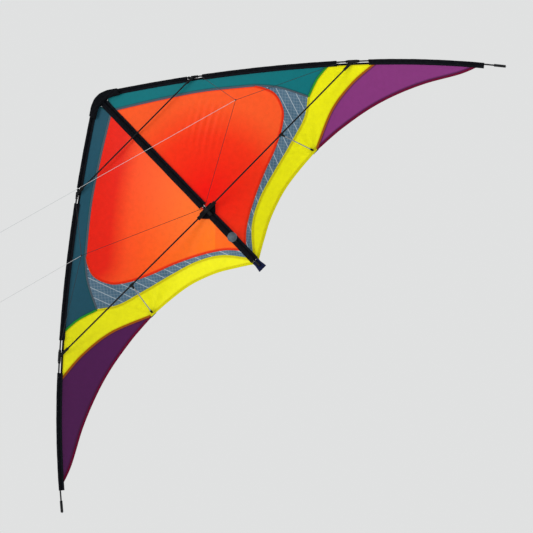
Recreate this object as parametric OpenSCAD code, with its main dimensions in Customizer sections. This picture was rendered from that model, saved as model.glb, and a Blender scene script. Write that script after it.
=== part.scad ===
// Dual-line sport kite. Origin at the centre fitting on the spine's axis.
// +Z points up the spine to the nose, -Y to the flyer, +X along the wing on the flyer's right.

/* [Kite] */
// Half of the wingspan, from the spine to a wingtip; the whole plan follows it
half_span = 1200; // [1000:10:1440]
// Depth of the sail behind the frame at a standoff
sail_depth = 158; // [130:1:190]
// Thickness of the sail solids
sail_t = 0.8; // [0.5:0.1:1.2]

/* [Frame] */
// Outer diameter of the spine, leading edge and lower spreader tubes
tube_d = 6; // [5:0.1:7.2]
// Diameter of the standoffs
thin_d = 4; // [3:0.1:4.8]
// Wall of the carbon tubes
tube_wall = 1; // [0.8:0.1:1.2]
// Length of the socket on a connector
socket_len = 34; // [28:1:42]

/* [Tapes] */
// Width of the tape along the spine
tape_w = 32; // [26:1:38]
// Width of the leading edge sleeve, inboard of the tube
sleeve_w = 15; // [12:1:18]
// Diameter of the round plate on the spine
disc_d = 38; // [32:1:46]

/* [Bridle] */
// Distance of the tow points in front of the frame
tow_forward = 470; // [392:1:564]
// Diameter of the bridle lines
bridle_d = 1.6; // [1.3:0.1:2]
// Diameter of the flying lines
line_d = 1.4; // [1.2:0.1:1.7]

/* [Hidden] */
$fn = 48;

// Plan scale: the outline points below are written for a half span of 1187.
k = half_span / 1187;
tube_r = tube_d / 2;
thin_r = thin_d / 2;
upper_r = tube_r - 0.25; // the upper spreader
gap = 0.3;              // running clearance between moving pieces
fit = 0.1;              // clearance of a bore round its tube
nose_z = 626 * k;       // where the two leading edges would meet
spine_top = 603 * k;
spine_end = -290 * k;
sail_y = tube_r + 2.2;  // front face of the sail along the spine and leading edges
flap_back = sail_y - 0.3;

// Leading edge: two arcs in the frame plane. Headings are degrees below +X.
le_len = 1000 * k;      // from the nose to the lower connector
tip_len = 590 * k;      // from the lower connector to the nock
heading = [33.61, 42.82, 51.92];
le_r = [for (i = [0, 1]) [le_len, tip_len][i] / ((heading[i + 1] - heading[i]) * PI / 180)];
function ray(a) = [sin(a), cos(a)];
le_c0 = [0, nose_z] - le_r[0] * ray(heading[0]);
le_c = [le_c0, le_c0 + (le_r[0] - le_r[1]) * ray(heading[1])];
function le_arc(s) = s < le_len ? 0 : 1;
function le_heading(s) = let (i = le_arc(s)) heading[i] + (s - i * le_len) / le_r[i] * 180 / PI;
function le_point(s) = let (i = le_arc(s)) le_c[i] + le_r[i] * ray(le_heading(s));
function le_z(x) = let (i = x < le_point(le_len)[0] ? 0 : 1, d = x - le_c[i][0])
    le_c[i][1] + sqrt(le_r[i] * le_r[i] - d * d);

rod_start = 32 * k;
rod_joint = le_len;     // the inner and outer leading edge tubes meet inside the lower connector
rod_stop = 1579 * k;
sleeve_s = [48 * k, 1506 * k];   // ends of the leading edge sleeve
sleeve_r = tube_r + 2.7; // outer radius of the sleeve round its tube
upper_s = 384 * k;      // upper connector, along the leading edge
lower_s = le_len;       // lower connector
upper_p = le_point(upper_s);
lower_p = le_point(lower_s);

// Upper spreader: in front of the sleeves and the nose cover, so that it can swing clear of them.
upper_y = -sleeve_r - upper_r - 2.4;
upper_z = upper_p[1];
upper_half = upper_p[0] - 11;
// Lower spreader: from the front of the centre T to the leading edge tube.
t_y = -10.5;
lower_run = [lower_p[0], -t_y, lower_p[1]];
lower_len = norm(lower_run);
lower_yaw = atan2(lower_run[1], lower_run[0]);
lower_pitch = -asin(lower_run[2] / lower_len);
lower_start = 9;
lower_stop = lower_len - 15;

// Standoff: clipped to the lower spreader, its far end in a pocket on the trailing edge.
clip_x = 400 * k;
pocket = [434 * k, sail_depth, -92 * k];
clip_d = clip_x / cos(lower_yaw);
clip_p = [clip_x, t_y + lower_run[1] * clip_x / lower_run[0], lower_run[2] * clip_x / lower_run[0]];
standoff_v = pocket - clip_p;
standoff_len = norm(standoff_v) - 12;

// Tow points, where the bridle legs and the flying line meet
tow = [409 * k, -tow_forward, 101 * k];
collar_z = 17;
knot_r = 3.4;
line_dir = [-0.48, -0.8745, -0.07];
line_len = [635 * k, 1770 * k];   // the left and right flying lines, to their end knots
// Far end of a flying line, as if on the right wing: both lines run the same way
function line_end(side) = side == "left" ? tow + [-line_dir[0], line_dir[1], line_dir[2]] * line_len[0]
    : tow + line_dir * line_len[1];

// ---- sail plan, for the right wing, as [x, z] at the reference size ----

// Points along a smooth curve through p, n steps between each pair
function curve(p, n) = [for (i = [0 : len(p) - 2], j = [0 : n - 1])
    let (t = j / n, a = p[max(i - 1, 0)], b = p[i], c = p[i + 1], d = p[min(i + 2, len(p) - 1)])
    0.5 * (2 * b + (c - a) * t + (2 * a - 5 * b + 4 * c - d) * t * t
    + (3 * b - a - 3 * c + d) * t * t * t), p[len(p) - 1]] * k;
function drop_last(v) = [for (i = [0 : len(v) - 2]) v[i]];
function reversed(v) = [for (i = [len(v) - 1 : -1 : 0]) v[i]];
function le_points(s1, s2, n) = [for (i = [0 : n])
    let (s = s1 + (s2 - s1) * i / n, h = le_heading(s)) le_point(s) - inset * ray(h)];
inset = 9;              // the sail starts this far inboard of the leading edge tube
x0 = 6;                 // and this far from the centre line

// Ends of the band's two seams, along the leading edge
band_s = [905 * k, 1086 * k];
tip_s = 1470 * k;       // where the sail ends, under the sleeve
function at_edge(s) = le_points(s, s, 1)[0] / k;
tip_x = at_edge(tip_s)[0] * k;

seam_main = curve([[x0, 537], [150, 447], [300, 345], [454, 219]], 2);
edge_main = curve([[454, 219], [485, 152], [466, 92], [420, 54], [340, 14], [240, -28], [140, -84],
                   [58, -145], [x0, -205]], 2);
edge_scrim = curve([[454, 219], [516, 146], [567, 50]], 2);
edge_band = curve([[567, 50], [500, 12], [400, -14], [280, -48], [170, -91], [79, -155], [x0, -252]], 2);
seam_band = curve([at_edge(band_s[0]), [640, 66], [567, 50]], 2);
seam_tip = curve([at_edge(band_s[1]), [720, -36], [590, -41], [446, -91]], 2);
tail_edge = curve([[446, -91], [345, -101], [250, -122], [150, -168], [70, -223], [x0, -272]], 2);
leech = curve([[446, -91], [560, -101], [680, -125], [800, -167], [920, -229], [1040, -308],
               at_edge(tip_s) - [1, 1.5]], 2);
trail_x = [for (p = concat(reversed(tail_edge), leech)) p];
function trail_z(x) = lookup(x, trail_x);

// Depth at the trailing edge: a sine up to the standoff, then falling to the sail's tip
function edge_depth(x) = x < pocket[0] ? sin(90 * x / pocket[0])
    : pow(cos(90 * (x - pocket[0]) / (tip_x - pocket[0])), 0.9);
function sail_back(x, z) = let (up = le_z(x) - inset, down = min(trail_z(x), up - 1))
    sail_y + (sail_depth - sail_y) * edge_depth(min(x, tip_x))
    * pow(max(0, min(1, (up - z) / (up - down))), 1.15);

// A row from a to b, never shorter than least, so that a pointed end stays a closed solid
least = 0.3;
function row_end(inner, outer, i) = let (v = outer[i] - inner[i], beside = i == 0 ? 1 : i - 1,
    w = outer[beside] - inner[beside]) norm(v) < least ? inner[i] + w * least / norm(w) : outer[i];

// A closed sheet of the sail between two rows of plan points
module sail_panel(inner, outer, across) {
    n = len(inner);
    m = across + 1;
    plan = [for (i = [0 : n - 1], j = [0 : across])
        inner[i] + (row_end(inner, outer, i) - inner[i]) * j / across];
    front = [for (p = plan) [p[0], sail_back(p[0], p[1]), p[1]]];
    back = [for (p = front) p + [0, sail_t, 0]];
    h = n * m;
    last = (n - 1) * m;
    cells = [for (i = [0 : n - 2], j = [0 : across - 1]) [i * m + j, i * m + j + 1, (i + 1) * m + j + 1,
        (i + 1) * m + j]];
    skins = [for (c = cells) each [[c[0], c[1], c[2]], [c[0], c[2], c[3]],
        [h + c[2], h + c[1], h + c[0]], [h + c[3], h + c[2], h + c[0]]]];
    sides = [for (i = [0 : n - 2]) let (a = i * m, b = a + m, c = a + across, d = b + across)
        each [[a, b, h + b], [a, h + b, h + a], [h + c, h + d, d], [h + c, d, c]]];
    ends = [for (j = [0 : across - 1]) let (a = j, b = j + 1, c = last + j, d = c + 1)
        each [[a, h + a, h + b], [a, h + b, b], [d, h + d, h + c], [d, h + c, c]]];
    polyhedron(concat(front, back), concat(skins, sides, ends), convexity = 6);
}

// ---- helpers ----

module on_side(side) {
    if (side == "left") mirror([1, 0, 0]) children();
    else children();
}

// A profile swept along the leading edge. Its x points outboard and its y to the front.
module le_sweep(s1, s2) {
    for (i = [0, 1]) {
        from = max(s1, i * le_len);
        to = min(s2, le_len + i * tip_len);
        if (to > from) {
            a1 = heading[i] + (from - i * le_len) / le_r[i] * 180 / PI;
            a2 = heading[i] + (to - i * le_len) / le_r[i] * 180 / PI;
            translate([le_c[i][0], 0, le_c[i][1]]) rotate([90, 0, 0]) rotate([0, 0, 90 - a2])
                rotate_extrude(angle = a2 - a1) translate([le_r[i], 0]) children();
        }
    }
}

// Puts a child whose Z is the tube's axis at s along the leading edge, its X outboard
module at_le(s) {
    p = le_point(s);
    translate([p[0], 0, p[1]]) rotate([0, 90 + le_heading(s), 0]) children();
}

// Puts a child whose Z is the tube's axis on the lower spreader, d from the centre line
module at_lower(d) {
    translate([0, t_y, 0]) rotate([0, 0, lower_yaw]) rotate([0, 90 + lower_pitch, 0]) translate([0, 0, d])
        children();
}

// Puts a child whose Z is the standoff's axis at d from the lower spreader's axis
module on_standoff(d) {
    v = standoff_v / norm(standoff_v);
    translate(clip_p) rotate([0, acos(v[2]), atan2(v[1], v[0])]) translate([0, 0, d]) children();
}

module tube(r, wall, length) {
    difference() {
        cylinder(r = r, h = length);
        translate([0, 0, -1]) cylinder(r = r - wall, h = length + 2);
    }
}

module ring(inner, outer, length) {
    translate([0, 0, -length / 2]) tube(outer, outer - inner, length);
}

// A point at s along the leading edge, f in front of its tube's axis
function at3(s, f) = let (p = le_point(s)) [p[0], -f, p[1]];
// A point on the way from a to b, d from a
function toward(a, b, d) = a + (b - a) * d / norm(b - a);

// A cord of diameter d through the points p, 6-sided
module cord(p, d) {
    n = len(p);
    sides = 6;
    dirs = [for (i = [0 : n - 1]) let (v = p[min(i + 1, n - 1)] - p[max(i - 1, 0)]) v / norm(v)];
    rows = [for (i = [0 : n - 1], a = [0 : sides - 1])
        let (u0 = cross(dirs[i], [0.31, 0.17, 0.93]), u = u0 / norm(u0), w = cross(dirs[i], u))
        p[i] + d / 2 * (u * cos(60 * a) + w * sin(60 * a))];
    polyhedron(rows, [
        [for (a = [0 : sides - 1]) a],
        [for (a = [sides - 1 : -1 : 0]) (n - 1) * sides + a],
        for (i = [0 : n - 2], a = [0 : sides - 1]) let (b = (a + 1) % sides)
            each [[i * sides + a, (i + 1) * sides + a, (i + 1) * sides + b],
                  [i * sides + a, (i + 1) * sides + b, i * sides + b]]]);
}

// ---- the spine and what it carries ----

module spine_rod() {
    color("#1b1c1e") translate([0, 0, spine_end]) tube(tube_r, tube_wall, spine_top - spine_end);
}

// Folded tape: a flat back with a raised tunnel for the rod, cut away at the centre T
module spine_sleeve() {
    tunnel_r = tube_r + 1.3;
    window = 27;
    color("#15161a") for (span = [[-265 * k, -window], [window, 581 * k]])
        translate([0, 0, span[0]]) linear_extrude(span[1] - span[0]) difference() {
            union() {
                circle(r = tunnel_r);
                translate([-tape_w / 2, tube_r + 0.4]) square([tape_w, 1]);
                translate([-tunnel_r, 0]) square([2 * tunnel_r, tube_r + 0.9]);
            }
            circle(r = tube_r + fit);
        }
}

module spine_caps() {
    color("#101113") for (end = [[spine_top, 0], [spine_end, 180]])
        translate([0, 0, end[0]]) rotate([end[1], 0, 0]) difference() {
            translate([0, 0, -14]) cylinder(r = tube_r + 1.2, h = 17);
            translate([0, 0, -15]) cylinder(r = tube_r + fit, h = 15 + fit);
        }
}

// Hub round the spine with two arms. The arms are open to the front for the lower spreaders.
module centre_t() {
    hub_r = tube_r + 3;
    arm = 46;
    wall = 2.2;
    slot = tube_r + gap;
    height = slot + arm * lower_run[2] / lower_len + gap;    // room for the spreader's slight rise
    color("#131416") difference() {
        union() {
            translate([0, 0, -24]) cylinder(r = hub_r, h = 36);
            for (side = [-1, 1]) rotate([0, 0, side * lower_yaw])
                translate([side > 0 ? 0 : -arm, t_y - slot, -height - wall])
                cube([arm, slot * 2 + wall, 2 * (height + wall)]);
            translate([-hub_r, t_y, -24]) cube([2 * hub_r, -t_y, 36]);
        }
        translate([0, 0, -30]) cylinder(r = tube_r + fit, h = 60);
        for (side = [-1, 1]) rotate([0, 0, side * lower_yaw])
            translate([side > 0 ? lower_start - 1 : -arm - 9, t_y - slot - 9, -height])
            cube([arm - lower_start + 10, 2 * slot + 9, 2 * height]);
    }
}

// Diamond of tape behind the spine's tape, with a slot for the centre T, cut off above
// for the inner bridle legs to swing past
module centre_patch() {
    size = 58;
    slot = 27.5;
    color("#121317") difference() {
        translate([0, sail_y - 0.1, 0]) rotate([90, 45, 0]) linear_extrude(0.6) square(size, center = true);
        translate([0, 0, -slot]) cylinder(r = tube_r + 3.5, h = 2 * slot);
        translate([-size, 0, collar_z - 1.5]) cube([2 * size, 9, size]);
    }
}

module spine_stops() {
    color("#26282c") translate([0, 0, -25.2]) ring(tube_r + fit, tube_r + 2.2, 1.8);
    color("#26282c") translate([0, 0, 24.4]) ring(tube_r + fit, tube_r + 2.2, 2.4);
}

// The loop of bridle line tied round the spine, just above the centre T
module bridle_collar() {
    color("#202228") translate([0, 0, collar_z])
        rotate_extrude() translate([tube_r + 1.7, 0]) circle(r = 1.5, $fn = 24);
}

module spine_disc() {
    color("#8a9096") translate([0, -tube_r - 1.6, -142 * k]) rotate([90, 0, 0]) {
        cylinder(r = disc_d / 2, h = 1.2);
        cylinder(r = disc_d / 3.2, h = 1.8);
    }
}

// Strap over the spine's end, in front of the sails' corners
module tail_tab() {
    side = [[15, 0], [14, -16 * k], [18, -42 * k], [17, -44 * k]];
    color("#171a3c") translate([0, sail_y - 0.1, -266 * k]) rotate([90, 0, 0]) linear_extrude(0.8)
        polygon(concat(side, [for (p = reversed(side)) [-p[0], p[1]]]));
}

module upper_spreader() {
    color("#17181a") translate([-upper_half, upper_y, upper_z]) rotate([0, 90, 0])
        cylinder(r = upper_r, h = 2 * upper_half);
}

// ---- one wing ----

module le_rod_inner(side) {
    color("#1b1c1e") on_side(side) le_sweep(rod_start, rod_joint - fit) difference() {
        circle(r = tube_r);
        circle(r = tube_r - tube_wall);
    }
}

module le_rod_outer(side) {
    color("#1b1c1e") on_side(side) le_sweep(rod_joint + fit, rod_stop) difference() {
        circle(r = tube_r);
        circle(r = tube_r - tube_wall);
    }
}

module le_ferrule(side) {
    half = 45;
    bow = half * half / le_r[1];    // room for the bend of the tubes round the straight ferrule
    color("#b9bcc0") on_side(side) at_le(rod_joint) translate([0, 0, -half])
        cylinder(r = tube_r - tube_wall - fit - bow / 2, h = 2 * half);
}

// Cloth pocket round the leading edge tube, with a flat flap sewn to the sail
module le_sleeve(side, s1, s2) {
    color("#14151a") on_side(side) le_sweep(s1, s2) difference() {
        union() {
            circle(r = sleeve_r);
            translate([-sleeve_w, -flap_back]) square([sleeve_w + 1, 1.8]);
        }
        circle(r = tube_r + fit);
    }
}

// Collar round the leading edge with a cradle for the upper spreader. The cradle is open to
// the front, and to the side that the spreader swings out of.
module upper_connector(side) {
    wall = 2;
    seat = upper_r + gap;
    swing = side == "left" ? -1 : 1;
    start = -socket_len;
    color("#121315") on_side(side) difference() {
        union() {
            at_le(upper_s) translate([0, 0, -9]) cylinder(r = tube_r + 2.6, h = 18);
            translate([upper_p[0] + start, upper_y - seat, upper_z - seat - wall])
                cube([socket_len - 2, seat * 2 + wall, 2 * (seat + wall)]);
            translate([upper_p[0] - 12, upper_y + seat, upper_z - 6]) cube([12, -upper_y - seat, 12]);
        }
        at_le(upper_s) translate([0, 0, -20]) cylinder(r = tube_r + fit, h = 40);
        translate([upper_p[0] + start - 9, upper_y - seat - 20, upper_z - (swing > 0 ? seat : 30)])
            cube([socket_len - 0.5, 2 * seat + 20, seat + 30]);
    }
}

// Push-on rings that keep both connectors in place
module le_stops(side) {
    color("#2a2c30") on_side(side) for (s = [upper_s - 19, upper_s + 14, lower_s - 23, lower_s + 23])
        at_le(s) ring(tube_r + fit, tube_r + 2, 6);
}

// Webbing folded over the nose's outer edge, stopping short of the spine
module nose_cover(side) {
    skin = 1.6;
    front = sleeve_r + 0.4;     // the tube and its sleeve go between the front layer
    back = sail_y + 2.8;        // and the back layer, with the sail's corner
    outer = [[0.4, -6], [14, -7], [26, -11], [44, -19], [60, -30], [74, -40]] * k;
    inner = [[66, -70], [40, -53], [14, -42], [0.4, -45]] * k;
    hollow = concat([for (p = outer) p - [0, 2]], [[99, -58] * k, [99, -99] * k, [-9, -99] * k, [-9, -8] * k]);
    color("#101114") on_side(side) translate([0, 0, nose_z]) difference() {
        translate([0, back + skin, 0]) rotate([90, 0, 0]) linear_extrude(front + back + 2 * skin)
            polygon(concat(outer, inner));
        translate([0, back, 0]) rotate([90, 0, 0]) linear_extrude(front + back) polygon(hollow);
    }
}

module sail_inner_edge(side) {
    seam = concat(drop_last(seam_main), drop_last(edge_scrim), reversed(seam_band));
    color("#0c7f82") on_side(side) sail_panel(seam, le_points(rod_start, band_s[0], len(seam) - 1), 3);
}

module sail_main(side) {
    rim = concat(drop_last(seam_main), edge_main);
    top = rim[0];
    drop = (rim[len(rim) - 1] - top) / (len(rim) - 1);
    color("#f2401e") on_side(side)
        sail_panel([for (i = [0 : len(rim) - 1]) top + drop * i - [0.5, 0]], rim, 7);
}

module sail_scrim(side) {
    color("#5d7593") on_side(side) sail_panel(edge_main, concat(drop_last(edge_scrim), edge_band), 2);
}

module sail_band(side) {
    rim = concat(drop_last(seam_band), edge_band);
    color("#eef000") on_side(side) sail_panel(concat(drop_last(seam_tip), tail_edge), rim, 3);
}

module sail_tip(side) {
    color("#6d2a6e") on_side(side)
        sail_panel(leech, concat(drop_last(reversed(seam_tip)), le_points(band_s[1], tip_s, 6)), 3);
}

// Stiff patch behind the trailing edge, with a cap in front for the end of the standoff
module standoff_pocket(side) {
    patch = [32, 26, 1.4];
    slope = -66;
    cap_len = 16;
    color("#1c2350") on_side(side) {
        translate(pocket + [2, 0.6, 6.4]) rotate([slope, 0, 0]) cube(patch, center = true);
        on_standoff(standoff_len - cap_len + 5) difference() {
            cylinder(r = thin_r + 1.8, h = cap_len);
            translate([0, 0, -1]) cylinder(r = thin_r + gap, h = cap_len - 2);
        }
    }
}

nock_r = tube_r + 2.2;

module wingtip_nock(side) {
    color("#101113") on_side(side) difference() {
        at_le(rod_stop - 34) cylinder(r = nock_r, h = 44);
        at_le(rod_stop - 34) translate([0, 0, -1]) cylinder(r = tube_r + fit, h = 35.5);
        at_le(rod_stop) translate([-1, -9, 3]) cube([2, 18, 9]);
    }
}

// Line that pulls the sleeve out to the nock: along the front, over the end and back
module tension_line(side) {
    out = nock_r + 1;
    a = at3(1508 * k, out);
    path = [a, at3(rod_stop, out), at3(rod_stop + 9, out), at3(rod_stop + 12, 1.4), at3(rod_stop + 12, -1.4),
            at3(rod_stop + 9, -out), at3(rod_stop, -out), at3(1508 * k, -out)];
    color("#24262a") on_side(side) cord(path, bridle_d);
}

// Upper and lower bridle legs: one line, bent at the tow point inside its knot
module bridle_outer(side) {
    top = at3(upper_s + 27, tube_r + 1);
    low = at3(lower_s - 38, tube_r + 1);
    color("#1d1f24") on_side(side)
        cord([top, toward(tow, top, 2.2), tow, toward(tow, low, 2.2), low], bridle_d);
}

// Inner bridle leg, from the tow point to the collar on the spine
module bridle_inhaul(side) {
    away = [tow[0], tow[1], 0] / norm([tow[0], tow[1]]);
    foot = [0, 0, collar_z] + away * (tube_r + 4.4);
    color("#1d1f24") on_side(side) cord([toward(tow, foot, knot_r + 0.4), foot], bridle_d);
}

// The tow knot, and the knot that ends the flying line's loop
module line_knots(side) {
    color("#17181b") on_side(side) for (p = [tow, line_end(side)]) translate(p) sphere(r = knot_r);
}

// Flying line, from the tow knot to the knot at its far end
module flying_line(side) {
    color("#e9ebec") on_side(side)
        cord([toward(tow, line_end(side), knot_r + 0.2), toward(line_end(side), tow, knot_r + 0.2)], line_d);
}

// ---- lower spreaders and standoffs ----

module lower_spreader(side) {
    color("#17181a") on_side(side) at_lower(lower_start) tube(tube_r, tube_wall, lower_stop - lower_start);
}

// Collar round the leading edge, with a socket for the lower spreader
module lower_connector(side) {
    color("#121315") on_side(side) difference() {
        union() {
            at_le(lower_s) translate([0, 0, -19]) cylinder(r = tube_r + 3, h = 38);
            at_lower(lower_len - socket_len - 12) cylinder(r = tube_r + 2.2, h = socket_len + 12);
        }
        at_le(lower_s) translate([0, 0, -40]) cylinder(r = tube_r + fit, h = 80);
        at_lower(0) cylinder(r = tube_r + fit, h = lower_stop + fit);
    }
}

module standoff(side) {
    color("#8f9296") on_side(side) on_standoff(tube_r + 2.4) cylinder(r = thin_r, h = standoff_len - tube_r - 2.4);
}

// Clip round the lower spreader that holds the standoff
module standoff_clip(side) {
    color("#15161a") on_side(side) difference() {
        union() {
            at_lower(clip_d - 8) cylinder(r = tube_r + 2.2, h = 16);
            on_standoff(0) cylinder(r = thin_r + 1.8, h = 20);
        }
        at_lower(clip_d - 20) cylinder(r = tube_r + fit, h = 40);
        on_standoff(tube_r + 2.3) cylinder(r = thin_r, h = 40);
    }
}

spine_rod();
spine_sleeve();
spine_caps();
centre_t();
centre_patch();
spine_stops();
bridle_collar();
spine_disc();
tail_tab();
upper_spreader();
le_rod_inner("left");  // le_rod_inner_left
le_rod_inner("right");  // le_rod_inner_right
le_rod_outer("left");  // le_rod_outer_left
le_rod_outer("right");  // le_rod_outer_right
le_ferrule("left");  // le_ferrule_left
le_ferrule("right");  // le_ferrule_right
le_sleeve("left", sleeve_s[0], upper_s - 26);  // le_sleeve_inner_left
le_sleeve("right", sleeve_s[0], upper_s - 26);  // le_sleeve_inner_right
le_sleeve("left", upper_s + 34, lower_s - 62 * k);  // le_sleeve_mid_left
le_sleeve("right", upper_s + 34, lower_s - 62 * k);  // le_sleeve_mid_right
le_sleeve("left", lower_s + 62 * k, sleeve_s[1]);  // le_sleeve_outer_left
le_sleeve("right", lower_s + 62 * k, sleeve_s[1]);  // le_sleeve_outer_right
upper_connector("left");  // upper_connector_left
upper_connector("right");  // upper_connector_right
le_stops("left");  // le_stops_left
le_stops("right");  // le_stops_right
nose_cover("left");  // nose_cover_left
nose_cover("right");  // nose_cover_right
sail_inner_edge("left");  // sail_inner_edge_left
sail_inner_edge("right");  // sail_inner_edge_right
sail_main("left");  // sail_main_left
sail_main("right");  // sail_main_right
sail_scrim("left");  // sail_scrim_left
sail_scrim("right");  // sail_scrim_right
sail_band("left");  // sail_band_left
sail_band("right");  // sail_band_right
sail_tip("left");  // sail_tip_left
sail_tip("right");  // sail_tip_right
standoff_pocket("left");  // standoff_pocket_left
standoff_pocket("right");  // standoff_pocket_right
wingtip_nock("left");  // wingtip_nock_left
wingtip_nock("right");  // wingtip_nock_right
tension_line("left");  // tension_line_left
tension_line("right");  // tension_line_right
bridle_outer("left");  // bridle_outer_left
bridle_outer("right");  // bridle_outer_right
bridle_inhaul("left");  // bridle_inhaul_left
bridle_inhaul("right");  // bridle_inhaul_right
line_knots("left");  // line_knots_left
line_knots("right");  // line_knots_right
flying_line("left");  // flying_line_left
flying_line("right");  // flying_line_right
lower_spreader("left");  // lower_spreader_left
lower_spreader("right");  // lower_spreader_right
lower_connector("left");  // lower_connector_left
lower_connector("right");  // lower_connector_right
standoff("left");  // standoff_left
standoff("right");  // standoff_right
standoff_clip("left");  // standoff_clip_left
standoff_clip("right");  // standoff_clip_right
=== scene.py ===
"""Looks of a two-line delta sport kite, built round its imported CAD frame.

Metres; +Z runs up the spine to the nose, -Y points to the flyer, +X along the right wing.
Plan points of the sail are in millimetres, as [x, z] of the right wing, as in the CAD source.
"""

import bpy
import numpy as np
from mathutils import Matrix, Vector


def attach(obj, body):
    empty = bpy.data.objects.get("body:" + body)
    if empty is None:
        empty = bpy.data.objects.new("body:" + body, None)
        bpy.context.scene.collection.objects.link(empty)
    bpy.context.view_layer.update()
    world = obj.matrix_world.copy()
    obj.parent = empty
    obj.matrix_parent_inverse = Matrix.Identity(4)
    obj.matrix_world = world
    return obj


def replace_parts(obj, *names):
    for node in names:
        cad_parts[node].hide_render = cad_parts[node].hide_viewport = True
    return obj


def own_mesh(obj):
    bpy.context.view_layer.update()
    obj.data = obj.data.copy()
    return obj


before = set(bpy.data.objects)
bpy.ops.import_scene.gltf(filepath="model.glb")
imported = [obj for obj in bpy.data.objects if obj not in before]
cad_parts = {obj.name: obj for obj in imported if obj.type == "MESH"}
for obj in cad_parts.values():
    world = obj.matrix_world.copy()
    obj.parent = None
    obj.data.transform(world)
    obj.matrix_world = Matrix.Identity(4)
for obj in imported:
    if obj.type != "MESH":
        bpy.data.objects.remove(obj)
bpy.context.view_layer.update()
scene = bpy.context.scene
MM = 0.001
SIDES = {"right": 1.0, "left": -1.0}


# ---------------------------------------------------------------- plan of the kite, in millimetres

K = 1200.0 / 1187.0        # plan scale: the outline points below are written for a half span of 1187
TUBE_R = 3.0
NOSE_Z, TAPE_TOP, TAPE_END = 626.0 * K, 592.0 * K, -265.0 * K
SAIL_Y, SAIL_DEPTH = 5.2, 158.0
LE_LEN = np.array([1000.0, 590.0]) * K
HEADING = np.radians([33.61, 42.82, 51.92])
LE_R = LE_LEN / np.diff(HEADING)
UPPER_S, LOWER_S, ROD_STOP, TIP_S = 384.0 * K, 1000.0 * K, 1579.0 * K, 1470.0 * K
SLEEVE_S = (48.0 * K, 1506.0 * K)
BAND_S = (905.0 * K, 1086.0 * K)
INSET, CLOTH_INSET = 9.0, 6.0           # from the leading edge's axis to the sail's edge line and to its cloth
X0 = 6.0                                # from the middle to the seams' ends beside the spine
POCKET = np.array([434.0 * K, SAIL_DEPTH, -92.0 * K])
TOW = np.array([409.0 * K, -470.0, 101.0 * K])
LINE_DIR = np.array([-0.48, -0.8745, -0.07])
LINE_LEN = {"left": 635.0 * K, "right": 1770.0 * K}


def ray(a):
    """The outward direction of the leading edge whose heading is a: [sin a, cos a]."""
    return np.stack([np.sin(a), np.cos(a)], -1)


LE_C0 = np.array([0.0, NOSE_Z]) - LE_R[0] * ray(HEADING[0])
LE_C = np.stack([LE_C0, LE_C0 + (LE_R[0] - LE_R[1]) * ray(HEADING[1])])


def edge_heading(s):
    """Heading below +X at s along the leading edge: two arcs, each turning evenly."""
    i = (np.asarray(s) >= LE_LEN[0]).astype(int)
    return HEADING[i] + (s - i * LE_LEN[0]) / LE_R[i]


def edge_point(s, inset=0.0):
    """The leading edge at s, moved inset towards the sail: the arc's centre plus its radius along the ray."""
    i = (np.asarray(s) >= LE_LEN[0]).astype(int)
    return LE_C[i] + (LE_R[i] - inset)[..., None] * ray(edge_heading(s))


def edge_z(x):
    """Height of the leading edge over x, from the circle that it follows there."""
    i = (x >= edge_point(LE_LEN[0])[0]).astype(int)
    d = np.minimum(np.abs(x - LE_C[i, 0]), LE_R[i] - 1.0)
    return LE_C[i, 1] + np.sqrt(LE_R[i] ** 2 - d ** 2)


def smooth(points, n=20):
    """A Catmull-Rom curve through the points, n steps to a span."""
    p = np.asarray(points, float)
    first = np.arange(len(p) - 1)
    a, b, c, d = p[np.maximum(first - 1, 0)], p[:-1], p[1:], p[np.minimum(first + 2, len(p) - 1)]
    t = (np.arange(n) / n)[None, :, None]
    a, b, c, d = (v[:, None] for v in (a, b, c, d))
    body = 0.5 * (2 * b + (c - a) * t + (2 * a - 5 * b + 4 * c - d) * t ** 2 + (3 * b - a - 3 * c + d) * t ** 3)
    return np.concatenate([body.reshape(-1, p.shape[1]), p[-1:]])


def join(*curves):
    """Curves end to end, without the doubled points."""
    return np.concatenate([c[:-1] for c in curves[:-1]] + [curves[-1]])


def even(curve, n):
    """n points evenly spaced along a curve."""
    s = np.concatenate([[0], np.cumsum(np.linalg.norm(np.diff(curve, axis=0), axis=1))])
    at = np.linspace(0, s[-1], n)
    return np.stack([np.interp(at, s, curve[:, k]) for k in range(curve.shape[1])], -1)


def outline(*points):
    """A smooth curve through plan points of the reference size, at the kite's own size."""
    return smooth(points) * K


AT_1, AT_2 = edge_point(BAND_S[0], INSET) / K, edge_point(BAND_S[1], INSET) / K
SEAM_MAIN = outline([X0, 537], [150, 447], [300, 345], [454, 219])
EDGE_MAIN = outline([454, 219], [485, 152], [466, 92], [420, 54], [340, 14], [240, -28], [140, -84], [58, -145],
                    [X0, -205])
EDGE_SCRIM = outline([454, 219], [516, 146], [567, 50])
EDGE_BAND = outline([567, 50], [500, 12], [400, -14], [280, -48], [170, -91], [79, -155], [X0, -252])
SEAM_BAND = outline(AT_1, [640, 66], [567, 50])
SEAM_TIP = outline(AT_2, [720, -36], [590, -41], [446, -91])
TAIL_EDGE = outline([446, -91], [345, -101], [250, -122], [150, -168], [70, -223], [X0, -272])
LEECH = outline([446, -91], [560, -101], [680, -125], [800, -167], [920, -229], [1040, -308],
                edge_point(TIP_S, INSET) / K - [1, 1.5])
TIP_X = edge_point(TIP_S, INSET)[0]
TRAIL = join(TAIL_EDGE[::-1], LEECH)


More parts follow.
